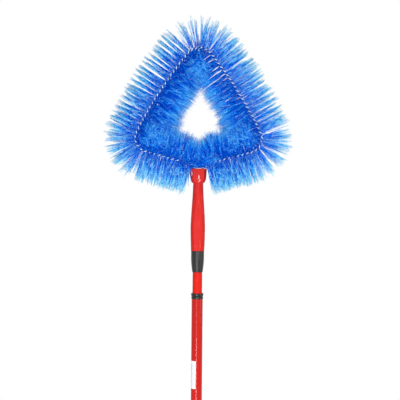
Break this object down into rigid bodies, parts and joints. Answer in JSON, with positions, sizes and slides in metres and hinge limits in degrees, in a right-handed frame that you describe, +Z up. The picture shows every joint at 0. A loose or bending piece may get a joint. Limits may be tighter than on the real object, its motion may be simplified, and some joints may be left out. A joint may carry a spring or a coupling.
{
  "type": "cobweb brush",
  "caption": "Telescopic cobweb brush: a rounded triangle of twisted wire set all round with long bristles, on a moulded handle that screws on to a twist-lock pole.",
  "frame": {"origin": "on the pole's axis at the lower tube's foot", "axes": "+Z up the pole to the head, +X to the right as the picture sees it, -Y towards the picture's camera"},
  "size_m": [0.3723, 0.13, 1.2798],
  "materials": {
    "tube_paint": "gloss red paint on thin steel tube",
    "black_plastic": "satin black moulded plastic",
    "label_paper": "blank white paper label",
    "lock_plastic": "dark grey moulded plastic",
    "bright_steel": "zinc-plated steel",
    "red_plastic": "gloss red moulded plastic",
    "galvanised_wire": "galvanised steel wire",
    "blue_bristle": "clear blue plastic filament"
  },
  "bodies": {
    "lower_pole": {"lower_tube": "tube_paint", "guide_collar": "black_plastic", "hanging_cap": "black_plastic", "pole_label": "label_paper"},
    "twist_lock": {"lock_sleeve": "lock_plastic"},
    "lock_wedge": {"lock_cone": "lock_plastic"},
    "upper_pole": {"upper_tube": "tube_paint", "threaded_tip": "black_plastic", "lock_plug": "lock_plastic", "lock_washer": "bright_steel", "lock_screw": "bright_steel"},
    "brush_head": {"socket_handle": "red_plastic", "wire_strand_a": "galvanised_wire", "wire_strand_b": "galvanised_wire", "bristles_base_left_inner": "blue_bristle", "bristles_base_left_outer": "blue_bristle", "bristles_corner_left": "blue_bristle", "bristles_side_left_lower": "blue_bristle", "bristles_side_left_middle": "blue_bristle", "bristles_side_left_upper": "blue_bristle", "bristles_top": "blue_bristle", "bristles_side_right_upper": "blue_bristle", "bristles_side_right_middle": "blue_bristle", "bristles_side_right_lower": "blue_bristle", "bristles_corner_right": "blue_bristle", "bristles_base_right_outer": "blue_bristle", "bristles_base_right_inner": "blue_bristle"}
  },
  "joints": [
    {"name": "pole_extend", "type": "slide", "parent": "lower_pole", "child": "twist_lock", "axis": [0, 0, 1], "range_m": [-0.041, 0.525]},
    {"name": "pole_twist", "type": "hinge", "parent": "twist_lock", "child": "upper_pole", "pos_m": [0, 0, 0.145], "axis": [0, 0, 1], "range_deg": [0, 270]},
    {"name": "cone_back_off", "type": "slide", "parent": "twist_lock", "child": "lock_wedge", "axis": [0, 0, -1], "range_m": [0, 0.003]},
    {"name": "brush_off", "type": "slide", "parent": "upper_pole", "child": "brush_head", "axis": [0, 0, 1], "range_m": [0, 0.045]}
  ],
  "couplings": [
    {"joint": "cone_back_off", "follows": "pole_twist", "m_per_rad": 0.000636}
  ]
}
